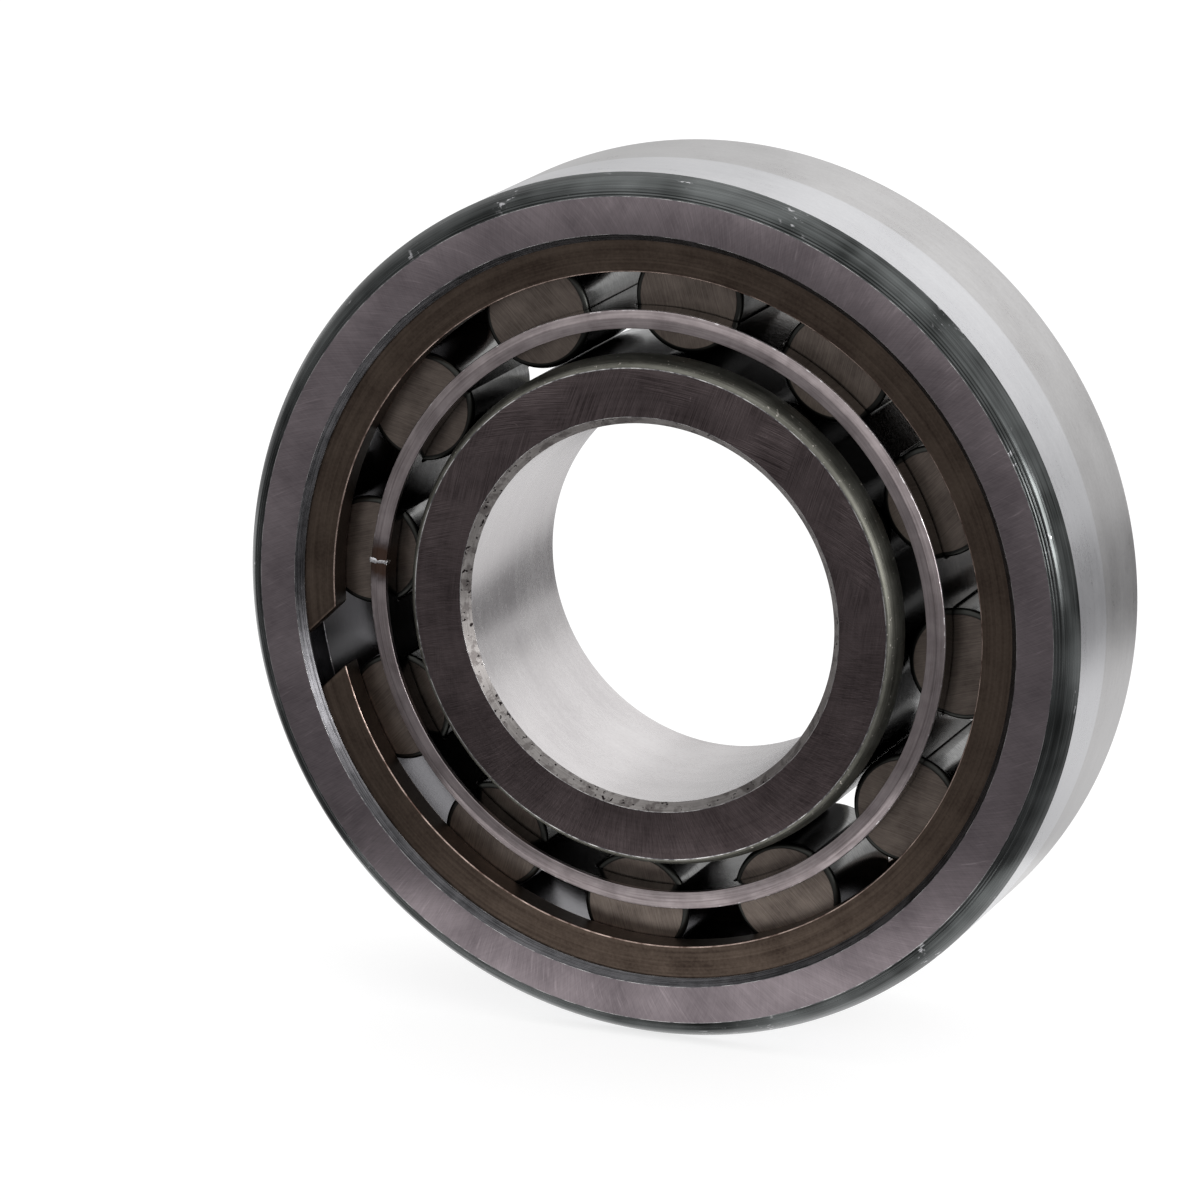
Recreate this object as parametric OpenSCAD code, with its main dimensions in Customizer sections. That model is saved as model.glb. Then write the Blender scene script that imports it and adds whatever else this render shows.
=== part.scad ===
// Cylindrical roller bearing, single row, for a 35 mm shaft in an 80 mm housing.
//
// The inner ring is a plain sleeve with no ribs. The outer ring has a straight raceway with
// a groove near each end. A split retaining ring snaps into each groove, and the pair keeps
// the rollers in. A welded window cage spaces the rollers.
//
// The bearing's axis is Y and its origin is the centre of the bore, at half its width.
// The front face looks along -Y. Each piece is drawn about the Z axis with its front
// upwards and then laid down, so angles run from +X towards +Z as seen from the front.

/* [Boundary sizes] */
// Bore of the inner ring
bore_d = 35; // [33:0.5:36]
// Outside diameter of the outer ring
outside_d = 80; // [79:0.5:84]
// Width of both rings
ring_w = 21; // [20.5:0.5:24]

/* [Rollers] */
// Number of rollers
roller_count = 12; // [12:1:12]
// Diameter of a roller
roller_d = 10.2; // [10:0.1:11]
// Length of a roller
roller_len = 13.8; // [13:0.1:13.8]
// Diameter of the circle through the roller centres
pitch_d = 57.4; // [57:0.1:57.4]
// Angle of the first roller
first_angle = 25.1; // [0:0.1:30]
// Gap between a roller and each raceway
race_gap = 0.03; // [0.02:0.01:0.1]
// Radial size of a roller's rounded end corner
roller_corner_r = 0.5; // [0.3:0.05:1]
// Axial size of a roller's rounded end corner
roller_corner_l = 0.5; // [0.3:0.05:1]

/* [Outer ring] */
// Radial size of the eased outside corners
outer_corner_r = 1.86; // [1:0.02:2]
// Axial size of the eased outside corners
outer_corner_l = 2.2; // [1:0.1:3]
// Angle that an outside corner turns through before it meets the ground outside
outer_corner_turn = 50; // [30:1:90]
// Radius at which the side faces start
outer_face_r = 34.77; // [34.5:0.01:35.2]
// Radius of the bore outside each retaining ring
mouth_r = 34.13; // [34:0.01:34.4]
// Axial size of the inside chamfers
outer_inner_chamfer_l = 0.75; // [0.3:0.05:0.9]

/* [Inner ring] */
// Radial size of the bore chamfers
bore_chamfer_r = 0.77; // [0.3:0.01:1.2]
// Axial size of the bore chamfers
bore_chamfer_l = 0.85; // [0.3:0.05:1.5]
// Radius at which the side faces end
inner_face_r = 22.65; // [22:0.05:22.8]
// Length of the eased lead-in at each end of the raceway
lead_in_l = 3.2; // [2:0.1:3.4]

/* [Retaining rings] */
// Distance from the side face to the retaining ring
snap_depth = 0.95; // [0.95:0.05:1.2]
// Axial thickness of a retaining ring
snap_t = 2.5; // [2:0.05:2.5]
// Inside radius of a retaining ring
snap_inner_r = 31.2; // [30:0.1:32.5]
// Radius of the bottom of the groove that holds it
groove_r = 35; // [34.8:0.05:36]
// Width of the split, square to its cut ends
snap_gap_w = 4.55; // [2:0.05:6]
// Radius at which the split is centred on its angle
snap_gap_r = 32.2; // [31.5:0.1:34]
// Slant of the cut ends, from the radial direction
snap_gap_slant = 33; // [0:1:45]
// Angle of the split in the front retaining ring
front_gap_angle = 191; // [0:1:359]
// Angle of the split in the rear retaining ring
rear_gap_angle = 11; // [0:1:359]

/* [Cage] */
// Inside radius of the cage
cage_inner_r = 26.07; // [25.5:0.01:26.5]
// Outside radius of the cage
cage_outer_r = 27.75; // [27.2:0.01:28]
// Distance from the side face to the cage
cage_depth = 0.95; // [0.9:0.05:1.5]
// Gap between a roller and the sides of its pocket
pocket_gap = 0.15; // [0.1:0.05:0.25]
// Gap between a roller's end and the end of its pocket
pocket_end_gap = 0.2; // [0.15:0.05:0.3]
// Angle of the weld that closes the cage strip
weld_angle = 175.3; // [170:0.1:180]
// Width of the weld bead
weld_w = 0.36; // [0.2:0.02:0.6]
// Height of the weld bead above the strip
weld_h = 0.08; // [0.04:0.01:0.12]

/* [Hidden] */

$fn = 180;
// Facets along one rounded corner
corner_steps = 8;
// Overshoot of a cutting shape past the face that it cuts
over = 1;

outside_r = outside_d / 2;
bore_r = bore_d / 2;
pitch_r = pitch_d / 2;
roller_r = roller_d / 2;
half_w = ring_w / 2;
outer_race_r = pitch_r + roller_r + race_gap;
inner_race_r = pitch_r - roller_r - race_gap;

// Axial places, from the middle of the width
snap_front = half_w - snap_depth;
snap_back = snap_front - snap_t;
groove_back = snap_back - 0.05;
cage_end = half_w - cage_depth;
pocket_len = roller_len + 2 * pocket_end_gap;
roller_pitch_angle = 360 / roller_count;

// Lays a piece drawn about Z down on to the bearing's axis, front towards -Y
module lay_down() rotate([90, 0, 0]) children();

// A corner from the end face at radius r and height h, out by dr and down by dh. It is part of
// an ellipse that starts square to the axis and turns through the angle turn, 90 for a quarter
function eased(r, h, dr, dh, turn = 90) =
    let (a = dr / sin(turn), b = dh / (1 - cos(turn)))
    [for (i = [0:corner_steps]) let (t = turn * i / corner_steps)
        [r + a * sin(t), h - b * (1 - cos(t))]];

// The same outline turned over the middle plane, in the order that closes the polygon
function flipped(points) = [for (i = [len(points) - 1:-1:0]) [points[i].x, -points[i].y]];

// A full turn of an outline of [radius, height] points and its mirror image
module turned(half_outline)
    rotate_extrude() polygon(concat(half_outline, flipped(half_outline)));

module outer_ring() {
    bore_side = [
        [outer_race_r, groove_back],
        [groove_r, groove_back],
        [groove_r, snap_front],
        [mouth_r, snap_front],
        [mouth_r, half_w - outer_inner_chamfer_l],
        [outer_face_r, half_w]
    ];
    outside = eased(outside_r - outer_corner_r, half_w, outer_corner_r, outer_corner_l,
        outer_corner_turn);
    color("#a9adb1") lay_down() turned(concat(bore_side, outside));
}

module inner_ring() {
    bore_side = [[bore_r, half_w - bore_chamfer_l], [bore_r + bore_chamfer_r, half_w]];
    raceway_side = eased(inner_face_r, half_w, inner_race_r - inner_face_r, lead_in_l);
    color("#6d6468") lay_down() turned(concat(bore_side, raceway_side));
}

// A flat ring in the upper groove, split by a slanted cut whose middle is at gap_angle
module retaining_ring(gap_angle) {
    cut_len = 3 * (groove_r - snap_inner_r);
    difference() {
        translate([0, 0, snap_back]) cylinder(r = groove_r, h = snap_t);
        translate([0, 0, snap_back - over]) cylinder(r = snap_inner_r, h = snap_t + 2 * over);
        rotate([0, 0, gap_angle]) translate([snap_gap_r, 0, snap_back + snap_t / 2])
            rotate([0, 0, snap_gap_slant])
                cube([cut_len, snap_gap_w, snap_t + 2 * over], center = true);
    }
}

module front_retaining_ring()
    color("#4a3f38") lay_down() retaining_ring(front_gap_angle);

// The rear ring is the same piece turned over, so its angles are counted from the back
module rear_retaining_ring()
    color("#4a3f38") lay_down() rotate([180, 0, 0]) retaining_ring(-rear_gap_angle);

// Puts its children at the centre line of roller number i
module at_roller(i) rotate([0, 0, first_angle + roller_pitch_angle * (i - 1)])
    translate([pitch_r, 0, 0]) children();

// One bead across the sheet and along one end band of the cage
module weld_bead() {
    band_inner_z = pocket_len / 2;
    bead_x = cage_inner_r - weld_h;
    rotate([0, 0, weld_angle]) translate([bead_x, -weld_w / 2, band_inner_z])
        cube([cage_outer_r - cage_inner_r + 2 * weld_h, weld_w, cage_end - band_inner_z + weld_h]);
}

module cage() {
    color("#8c8086") lay_down() {
        difference() {
            cylinder(r = cage_outer_r, h = 2 * cage_end, center = true);
            cylinder(r = cage_inner_r, h = 2 * cage_end + 2 * over, center = true);
            for (i = [1:roller_count])
                at_roller(i) cylinder(r = roller_r + pocket_gap, h = pocket_len, center = true);
        }
        weld_bead();
        mirror([0, 0, 1]) weld_bead();
    }
}

module roller(i) {
    end_corner = eased(roller_r - roller_corner_r, roller_len / 2,
        roller_corner_r, roller_corner_l);
    color("#7d746c") lay_down() at_roller(i)
        turned(concat([[0, roller_len / 2]], end_corner));
}

outer_ring();
inner_ring();
cage();
front_retaining_ring();
rear_retaining_ring();
roller(1);  // roller_01
roller(2);  // roller_02
roller(3);  // roller_03
roller(4);  // roller_04
roller(5);  // roller_05
roller(6);  // roller_06
roller(7);  // roller_07
roller(8);  // roller_08
roller(9);  // roller_09
roller(10);  // roller_10
roller(11);  // roller_11
roller(12);  // roller_12
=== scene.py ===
# %% [markdown]
# # A cylindrical roller bearing
#
# The bearing has two ground steel rings, twelve rollers, a pressed steel cage and two split
# retaining rings. The CAD frame gives every size and every place. This notebook dresses it:
# each piece is turned or bent again as a finer mesh with real edge breaks and tool marks, and
# then it gets a steel of its own, because a bearing is all steel and only the finish differs.

# %% Load the frame
import math

import bmesh
import bpy
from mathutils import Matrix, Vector


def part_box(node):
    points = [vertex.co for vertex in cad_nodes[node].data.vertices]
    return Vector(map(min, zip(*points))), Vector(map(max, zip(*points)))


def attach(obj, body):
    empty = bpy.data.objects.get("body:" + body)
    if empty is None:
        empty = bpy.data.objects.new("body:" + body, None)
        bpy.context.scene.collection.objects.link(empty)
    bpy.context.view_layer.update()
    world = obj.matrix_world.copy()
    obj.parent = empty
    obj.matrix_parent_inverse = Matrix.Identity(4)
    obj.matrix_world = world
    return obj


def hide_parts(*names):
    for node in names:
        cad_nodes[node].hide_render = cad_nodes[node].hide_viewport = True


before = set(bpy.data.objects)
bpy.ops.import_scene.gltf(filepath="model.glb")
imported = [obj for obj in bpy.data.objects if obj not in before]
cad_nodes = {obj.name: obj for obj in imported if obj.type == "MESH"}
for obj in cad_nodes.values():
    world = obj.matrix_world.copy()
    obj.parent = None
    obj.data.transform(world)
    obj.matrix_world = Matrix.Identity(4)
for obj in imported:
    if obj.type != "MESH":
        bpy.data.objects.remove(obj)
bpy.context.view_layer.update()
MM = 0.001

# %% [markdown]
# ## Sizes from the frame
#
# The pieces are nearly all bodies of revolution about the Y axis. Their radii could be typed
# in again, but then they could drift from the CAD model. So they are read off the CAD nodes:
# the smallest and largest distance from the axis, and the box. Heights are counted from the
# middle of the width, in millimetres, and are positive towards the front.

# %% Measure the CAD nodes


def reach(node):
    """The smallest and largest distance of a CAD node from the bearing's axis, in mm."""
    distances = [math.hypot(v.co.x, v.co.z) / MM for v in cad_nodes[node].data.vertices]
    return min(distances), max(distances)


def radii_at(node, height):
    """The distances from the axis of a CAD node's points at one height, in mm, in order."""
    level = {round(math.hypot(v.co.x, v.co.z) / MM, 2) for v in cad_nodes[node].data.vertices
             if abs(v.co.y / MM + height) < 0.005}
    return sorted(level)


def top_at(node, radius):
    """The height of the foremost point that a CAD node has within 0.02 mm of a radius, in mm."""
    return max(-v.co.y / MM for v in cad_nodes[node].data.vertices
               if abs(math.hypot(v.co.x, v.co.z) / MM - radius) < 0.02)


half_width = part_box("outer_ring")[1].y / MM
outer_race_r, outside_r = reach("outer_ring")
bore_r, inner_race_r = reach("inner_ring")
outer_face = radii_at("outer_ring", half_width)
inner_face = radii_at("inner_ring", half_width)
snap_inner_r, groove_r = reach("front_retaining_ring")
snap_back = -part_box("front_retaining_ring")[1].y / MM
snap_front = -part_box("front_retaining_ring")[0].y / MM
rollers = sorted(name for name in cad_nodes if name.startswith("roller_"))
low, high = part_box(rollers[0])
roller_r = (high.x - low.x) / 2 / MM
roller_half = high.y / MM
first_centre = (low + high) / 2 / MM
pitch_r = math.hypot(first_centre.x, first_centre.z)
first_angle = math.atan2(first_centre.z, first_centre.x)
print(f"rings {bore_r:.2f} {inner_race_r:.2f} {outer_race_r:.2f} {outside_r:.2f}, "
      f"half width {half_width}")
print(f"faces {outer_face} {inner_face}; retaining ring {snap_inner_r:.2f} to {groove_r:.2f}")
print(f"{len(rollers)} rollers of radius {roller_r:.2f} on {pitch_r:.2f}, "
      f"first at {math.degrees(first_angle):.1f} degrees")

# %% [markdown]
# ## Turning a piece from its outline
#
# A lathe makes a ring from an outline, and so does this function. It could be Blender's Spin
# or a Screw modifier, but a loop also lets each stretch of the outline carry its own finish,
# as on the real ring, where some surfaces are ground and others are left as turned.
#
# A real edge is never sharp. `soften` rounds each corner by its edge break, and puts a loop
# close to each end of the rounding, which keeps the flat beside it flat under smooth shading.

# %% Outline and lathe
EDGE_STEPS = 4      # facets in one rounded edge
HUG = 0.02          # mm from a rounding to the loop that holds the flat
TURN_STEPS = 360    # facets in one full turn of a ring
SHARP = 50          # degrees: an edge that turns more than this is drawn sharp


def soften(corners, edge_finish):
    """Rounds the corners (radius, height, edge break, finish of the run after it), in mm."""
    soft = []
    for i, (radius, height, ease, finish) in enumerate(corners):
        here = Vector((radius, height))
        if ease == 0:
            soft.append((radius, height, finish))
            continue
        back = (Vector(corners[i - 1][:2]) - here).normalized()
        ahead = (Vector(corners[(i + 1) % len(corners)][:2]) - here).normalized()
        half = back.angle(ahead) / 2
        start = here + back * ease / math.tan(half)
        end = here + ahead * ease / math.tan(half)
        centre = here + (back + ahead).normalized() * ease / math.sin(half)
        soft.append((*(start + back * HUG), corners[i - 1][3]))
        for k in range(EDGE_STEPS + 1):
            spoke = (start - centre).lerp(end - centre, k / EDGE_STEPS).normalized() * ease
            soft.append((*(centre + spoke), edge_finish if k < EDGE_STEPS else finish))
        soft.append((*(end + ahead * HUG), finish))
    return soft


def both_ends(front, closing):
    """Closes a run of corners from the front's bore side to its rim with its mirror image."""
    back = [(r, -h, ease, front[i - 1][3] if i else closing)
            for i, (r, h, ease, _) in reversed(list(enumerate(front)))]
    return front + back


def faces_between(bm, low, high):
    """Joins two matching closed loops of points with a band of faces."""
    for j in range(len(low)):
        k = (j + 1) % len(low)
        bm.faces.new((low[j], low[k], high[k], high[j]))


def finish_mesh(name, bm, materials):
    """Turns a bmesh into an object with outward faces, smooth but for its sharp edges."""
    bmesh.ops.remove_doubles(bm, verts=bm.verts, dist=0.0005 * MM)
    bmesh.ops.recalc_face_normals(bm, faces=bm.faces)
    mesh = bpy.data.meshes.new(name)
    bm.to_mesh(mesh)
    bm.free()
    for material in materials:
        mesh.materials.append(material)
    mesh.shade_smooth()
    mesh.set_sharp_from_angle(angle=math.radians(SHARP))
    piece = bpy.data.objects.new(name, mesh)
    bpy.context.scene.collection.objects.link(piece)
    return piece


def lathe(name, outline, finishes, closed=True, steps=TURN_STEPS):
    """Spins an outline of (radius, height, finish) about the Y axis."""
    order = list(finishes)
    bm = bmesh.new()
    rings = []
    for s in range(steps):
        angle = 2 * math.pi * s / steps
        rings.append([bm.verts.new((r * math.cos(angle) * MM, -h * MM, r * math.sin(angle) * MM))
                      for r, h, _ in outline])
    for s in range(steps):
        here, there = rings[s], rings[(s + 1) % steps]
        for j in range(len(outline) if closed else len(outline) - 1):
            k = (j + 1) % len(outline)
            face = bm.faces.new((here[j], here[k], there[k], there[j]))
            face.material_index = order.index(outline[j][2])
    return finish_mesh(name, bm, [finishes[key] for key in order])


# %% [markdown]
# ## One helper for nodes, one for colour
#
# Every material below is a small network of nodes. `add` makes one node with its settings, its
# values and its links, so a network reads from top to bottom. `hex_colour` turns a colour as a
# painter would pick it on screen into the linear light that the shader counts in.

# %% Node and colour helpers


def add(tree, kind, sockets=None, **settings):
    """Adds a node; sockets maps an input's name or number to a value or an output to link."""
    node = tree.nodes.new(kind)
    for key, value in settings.items():
        setattr(node, key, value)
    for key, value in (sockets or {}).items():
        if isinstance(value, bpy.types.NodeSocket):
            tree.links.new(value, node.inputs[key])
        else:
            node.inputs[key].default_value = value
    return node


def hex_colour(text):
    """'#rrggbb' in sRGB to linear RGBA."""
    parts = [int(text[i:i + 2], 16) / 255 for i in (1, 3, 5)]
    return (*(p / 12.92 if p <= 0.04045 else ((p + 0.055) / 1.055) ** 2.4 for p in parts), 1)


print("pure white is", hex_colour("#ffffff"))

# %% [markdown]
# ## Where a tool mark lies
#
# Grinding and turning marks follow the machine: they run round the axis, across a face or
# along an arc. So the patterns are drawn in polar terms. `around` gives the distance from the
# axis in millimetres, the direction from the axis, and the height. The direction is a point on
# a circle and not an angle, so no pattern has a seam where a turn ends.

# %% Patterns that follow the machine


def around(tree, attribute=None):
    """Place, distance and direction from the axis, and height along +Y, in mm, at each point."""
    if attribute:
        place = add(tree, "ShaderNodeAttribute", attribute_name=attribute).outputs["Vector"]
    else:
        metres = add(tree, "ShaderNodeTexCoord").outputs["Object"]
        place = add(tree, "ShaderNodeVectorMath", {0: metres, "Scale": 1 / MM},
                    operation="SCALE").outputs[0]
    flat = add(tree, "ShaderNodeVectorMath", {0: place, 1: (1, 0, 1)}, operation="MULTIPLY")
    radius = add(tree, "ShaderNodeVectorMath", {0: flat.outputs[0]}, operation="LENGTH")
    unit = add(tree, "ShaderNodeVectorMath", {0: flat.outputs[0]}, operation="NORMALIZE")
    height = add(tree, "ShaderNodeSeparateXYZ", {0: place}).outputs["Y"]
    return {"place": place, "radius": radius.outputs["Value"], "unit": unit.outputs[0],
            "height": height}


def arc_scratches(tree, at, middle, lean, sway, count, run):
    """Noise drawn out into scratches across a face whose middle radius is given in mm.

    lean is how far a scratch turns about the axis per mm of radius, in radians, and sway is
    how much that changes, twice in a turn; count is how many fit round the face; run is the
    length of one in mm.
    """
    axes = add(tree, "ShaderNodeSeparateXYZ", {0: at["unit"]})
    twice = add(tree, "ShaderNodeMath", {0: axes.outputs["X"], 1: axes.outputs["Z"]},
                operation="MULTIPLY")
    slant = add(tree, "ShaderNodeMath", {0: twice.outputs[0], 1: -2 * sway, 2: lean},
                operation="MULTIPLY_ADD")
    off = add(tree, "ShaderNodeMath", {0: at["radius"], 1: middle}, operation="SUBTRACT")
    turn = add(tree, "ShaderNodeMath", {0: off.outputs[0], 1: slant.outputs[0]},
               operation="MULTIPLY")
    turned = add(tree, "ShaderNodeVectorRotate",
                 {"Vector": at["unit"], "Axis": (0, 1, 0), "Angle": turn.outputs[0]})
    spread = add(tree, "ShaderNodeVectorMath",
                 {0: turned.outputs[0], "Scale": count / (2 * math.pi)}, operation="SCALE")
    along = add(tree, "ShaderNodeMath", {0: at["radius"], 1: 1 / run}, operation="MULTIPLY")
    lift = add(tree, "ShaderNodeCombineXYZ", {"Y": along.outputs[0]})
    where = add(tree, "ShaderNodeVectorMath", {0: spread.outputs[0], 1: lift.outputs[0]})
    return add(tree, "ShaderNodeTexNoise", {"Vector": where.outputs[0], "Scale": 1.0,
                                            "Detail": 3.0, "Roughness": 0.65}).outputs[0]


def bowed_hatch(tree, at, turn, across, run, bow):
    """Noise drawn out into nearly straight parallel scratches over a whole face.

    turn is their direction in radians, across and run are a scratch's width and length in mm,
    and bow is how far they bend, per mm squared.
    """
    laid = add(tree, "ShaderNodeVectorRotate", {"Vector": at["place"], "Axis": (0, 1, 0),
                                                "Angle": turn}).outputs[0]
    axes = add(tree, "ShaderNodeSeparateXYZ", {0: laid})
    square = add(tree, "ShaderNodeMath", {0: axes.outputs["X"], 1: axes.outputs["X"]},
                 operation="MULTIPLY").outputs[0]
    bent = add(tree, "ShaderNodeMath", {0: square, 1: bow, 2: axes.outputs["Z"]},
               operation="MULTIPLY_ADD").outputs[0]
    where = add(tree, "ShaderNodeCombineXYZ", {"X": axes.outputs["X"], "Z": bent}).outputs[0]
    drawn = add(tree, "ShaderNodeVectorMath", {0: where, 1: (1 / run, 1, 1 / across)},
                operation="MULTIPLY").outputs[0]
    return add(tree, "ShaderNodeTexNoise", {"Vector": drawn, "Scale": 1.0, "Detail": 3.0,
                                            "Roughness": 0.6}).outputs[0]


def round_lines(tree, at, across, pitch, patches=3.0, detail=2):
    """Noise drawn out into lines round the axis; across is the socket that counts the lines."""
    spread = add(tree, "ShaderNodeVectorMath", {0: at["unit"], "Scale": patches},
                 operation="SCALE")
    count = add(tree, "ShaderNodeMath", {0: across, 1: 1 / pitch}, operation="MULTIPLY")
    lift = add(tree, "ShaderNodeCombineXYZ", {"Y": count.outputs[0]})
    where = add(tree, "ShaderNodeVectorMath", {0: spread.outputs[0], 1: lift.outputs[0]})
    return add(tree, "ShaderNodeTexNoise", {"Vector": where.outputs[0], "Scale": 1.0,
                                            "Detail": detail, "Roughness": 0.55}).outputs[0]


def blotches(tree, at, size, detail=4):
    """Soft unevenness with patches of the given size in mm."""
    return add(tree, "ShaderNodeTexNoise", {"Vector": at["place"], "Scale": 1 / size,
                                            "Detail": detail, "Roughness": 0.6}).outputs[0]


def ramp(tree, value, low=0.3, high=0.7, to_low=0.0, to_high=1.0):
    """Stretches low..high to to_low..to_high and holds it there; noise seldom leaves 0.3..0.7."""
    return add(tree, "ShaderNodeMapRange", {"Value": value, "From Min": low, "From Max": high,
                                            "To Min": to_low, "To Max": to_high},
               clamp=True).outputs[0]


def mix(tree, share, first, second):
    """What lies at a share of the way from first to second, each a hex colour or a socket."""
    start, end = (hex_colour(one) if isinstance(one, str) else one for one in (first, second))
    return add(tree, "ShaderNodeMix", {0: share, 6: start, 7: end}, data_type="RGBA").outputs[2]


def total(tree, *weighted):
    """Adds up (socket, weight) pairs."""
    result = None
    for value, weight in weighted:
        part = add(tree, "ShaderNodeMath", {0: value, 1: weight}, operation="MULTIPLY").outputs[0]
        result = part if result is None else \
            add(tree, "ShaderNodeMath", {0: result, 1: part}, operation="ADD").outputs[0]
    return result


# %% [markdown]
# ## One frame for every steel
#
# The bearing is steel all over, so every material is the same metal: Metallic is 1 and the IOR
# is left alone, because a metal's colour is its reflection. What differs is how a surface was
# cut, and that is colour, roughness and relief. `steel` asks a recipe for those three and
# wires them to the shader. Relief is in millimetres, which keeps its scale honest.

# %% Steel from a recipe


def steel(name, recipe, attribute=None):
    """Makes a steel whose recipe(tree, at) returns colour, roughness, relief and its depth."""
    material = bpy.data.materials.new(name)
    material.use_nodes = True
    tree = material.node_tree
    tree.nodes.clear()
    colour, roughness, relief, depth = recipe(tree, around(tree, attribute))
    bump = add(tree, "ShaderNodeBump", {"Height": relief, "Distance": depth * MM,
                                        "Strength": 1.0})
    shader = add(tree, "ShaderNodeBsdfPrincipled",
                 {"Base Color": colour, "Roughness": roughness, "Metallic": 1.0,
                  "Normal": bump.outputs[0]})
    add(tree, "ShaderNodeOutputMaterial", {"Surface": shader.outputs[0]})
    return material


# %% [markdown]
# ## The side faces
#
# A side face is lapped flat after hardening, which leaves a dark satin steel under a net of
# fine scratches. On the outer ring three families of `arc_scratches` lean to and fro across
# the face. The inner ring is hatched two ways in long bows over its upper half and has nearly
# radial hair below, with a few flecks and faint rings. A real scratch is a hundredth of a
# millimetre wide, too fine to show, so these are drawn at about a tenth.

# %% Side faces
OUTER_MIDDLE = 36.5     # mm, the middle radius of the outer ring's side face
INNER_MIDDLE = 20.5     # mm, the same for the inner ring
SATIN = (0.36, 0.26)    # roughness of a lapped face, from its dark tones to its pale ones


def outer_lapped_face(tree, at):
    """Satin purple-grey steel: hair that leans one way, hair that crosses it, long pale lines."""
    hair = arc_scratches(tree, at, OUTER_MIDDLE, lean=0.012, sway=0.012, count=2200, run=2.0)
    cross = arc_scratches(tree, at, OUTER_MIDDLE, lean=-0.016, sway=0.01, count=1500, run=2.8)
    sparse = arc_scratches(tree, at, OUTER_MIDDLE, lean=0.016, sway=0.014, count=1100, run=4.0)
    long_one = ramp(tree, sparse, 0.6, 0.74)
    cloud = blotches(tree, at, 6.0)
    tone = total(tree, (ramp(tree, hair, 0.34, 0.66), 0.2), (ramp(tree, cross, 0.34, 0.66), 0.1),
                 (ramp(tree, cloud, 0.32, 0.68), 0.4), (long_one, 0.34))
    colour = mix(tree, tone, "#696165", "#aa9fa3")
    relief = total(tree, (hair, 0.6), (cross, 0.3), (long_one, -0.4))
    return colour, ramp(tree, tone, 0.1, 1.0, *SATIN), relief, 0.01


def inner_lapped_face(tree, at):
    """Darker purple-brown steel: long bows above, radial hair below, flecks and faint rings."""
    upright = bowed_hatch(tree, at, math.radians(82), across=0.1, run=5.0, bow=0.006)
    level = bowed_hatch(tree, at, math.radians(-8), across=0.11, run=6.0, bow=0.011)
    family = ramp(tree, blotches(tree, at, 9.0, 2), 0.44, 0.56)
    hatch = mix(tree, family, level, upright)
    # the bows fade in over some 20 mm of height about the axis, raggedly
    up = add(tree, "ShaderNodeSeparateXYZ", {0: at["place"]}).outputs["Z"]
    ragged = total(tree, (up, 1.0), (blotches(tree, at, 7.0, 1), 30.0))
    worked = ramp(tree, ragged, 6.0, 26.0, 0.1, 0.85)
    hair = arc_scratches(tree, at, INNER_MIDDLE, lean=0.004, sway=0.016, count=1500, run=1.6)
    short = arc_scratches(tree, at, INNER_MIDDLE, lean=0.01, sway=0.01, count=900, run=1.2)
    fleck = ramp(tree, short, 0.66, 0.76)
    ring = round_lines(tree, at, at["radius"], 0.3, 1.3)
    cloud = blotches(tree, at, 4.0)
    marks = mix(tree, worked, ramp(tree, hair, 0.25, 0.75), ramp(tree, hatch, 0.36, 0.64))
    tone = total(tree, (marks, 0.56), (ramp(tree, ring, 0.32, 0.68), 0.1),
                 (ramp(tree, cloud, 0.34, 0.66), 0.3), (fleck, 0.5), (worked, 0.12))
    colour = mix(tree, tone, "#251e1f", "#796d6e")
    relief = total(tree, (marks, 0.8), (ring, 0.2))
    return colour, ramp(tree, tone, 0.1, 1.0, *SATIN), relief, 0.016


outer_face_steel = steel("lapped_face_steel_outer", outer_lapped_face)
inner_face_steel = steel("lapped_face_steel_inner", inner_lapped_face)
print("side faces:", outer_face_steel.name, inner_face_steel.name)

# %% [markdown]
# ## The ground surfaces
#
# The outside, the bore and the raceways are ground, which is the brightest finish on the
# bearing. Grinding leaves very fine lines round the axis, and handling and oil add a soft
# cloudiness. The front part of the outside is a little paler than the rest, as the last pass
# of the wheel left it, with a clear line between the two. The inner ring's raceway is the
# same recipe with far darker colours, nearly black, and less roughness.

# %% Ground steels


def ground(light, dark, low_rough, high_rough, pale_front=None):
    """A recipe for ground steel; in front of the height pale_front, in mm, it is paler."""
    def recipe(tree, at):
        fine = round_lines(tree, at, at["height"], 0.09, 26.0)
        broad = round_lines(tree, at, at["height"], 1.2, 1.6)
        cloud = blotches(tree, at, 11.0)
        grain = blotches(tree, at, 0.3, 2)
        tone = total(tree, (ramp(tree, fine), 0.22), (ramp(tree, broad), 0.18),
                     (ramp(tree, cloud, 0.34, 0.66), 0.36), (ramp(tree, grain), 0.2))
        colour = mix(tree, tone, dark, light)
        if pale_front is not None:
            edge = total(tree, (at["height"], 1.0), (broad, 0.3))
            band = ramp(tree, edge, -pale_front, 0.3 - pale_front, 1.0, 0.0)
            colour = mix(tree, band, colour, mix(tree, tone, "#b9b9bc", "#dadadc"))
        return colour, ramp(tree, tone, 0.2, 0.8, low_rough, high_rough), fine, 0.004
    return recipe


outside_steel = steel("ground_bearing_steel_outside",
                      ground("#cecdcd", "#a19f9f", 0.26, 0.36, pale_front=1.0))
bore_steel = steel("ground_bearing_steel_bore", ground("#dcd9d9", "#b4b0b1", 0.22, 0.32))
race_steel = steel("ground_bearing_steel_outer_race", ground("#8e8d90", "#605f63", 0.16, 0.26))
# the inner raceway is painted nearly black, far darker than the other ground steel
oiled_race_steel = steel("oiled_bearing_steel_inner_race", ground("#191716", "#0b0a0a", 0.12, 0.22))
print("ground steels:", outside_steel.name, bore_steel.name, race_steel.name,
      oiled_race_steel.name)
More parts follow.
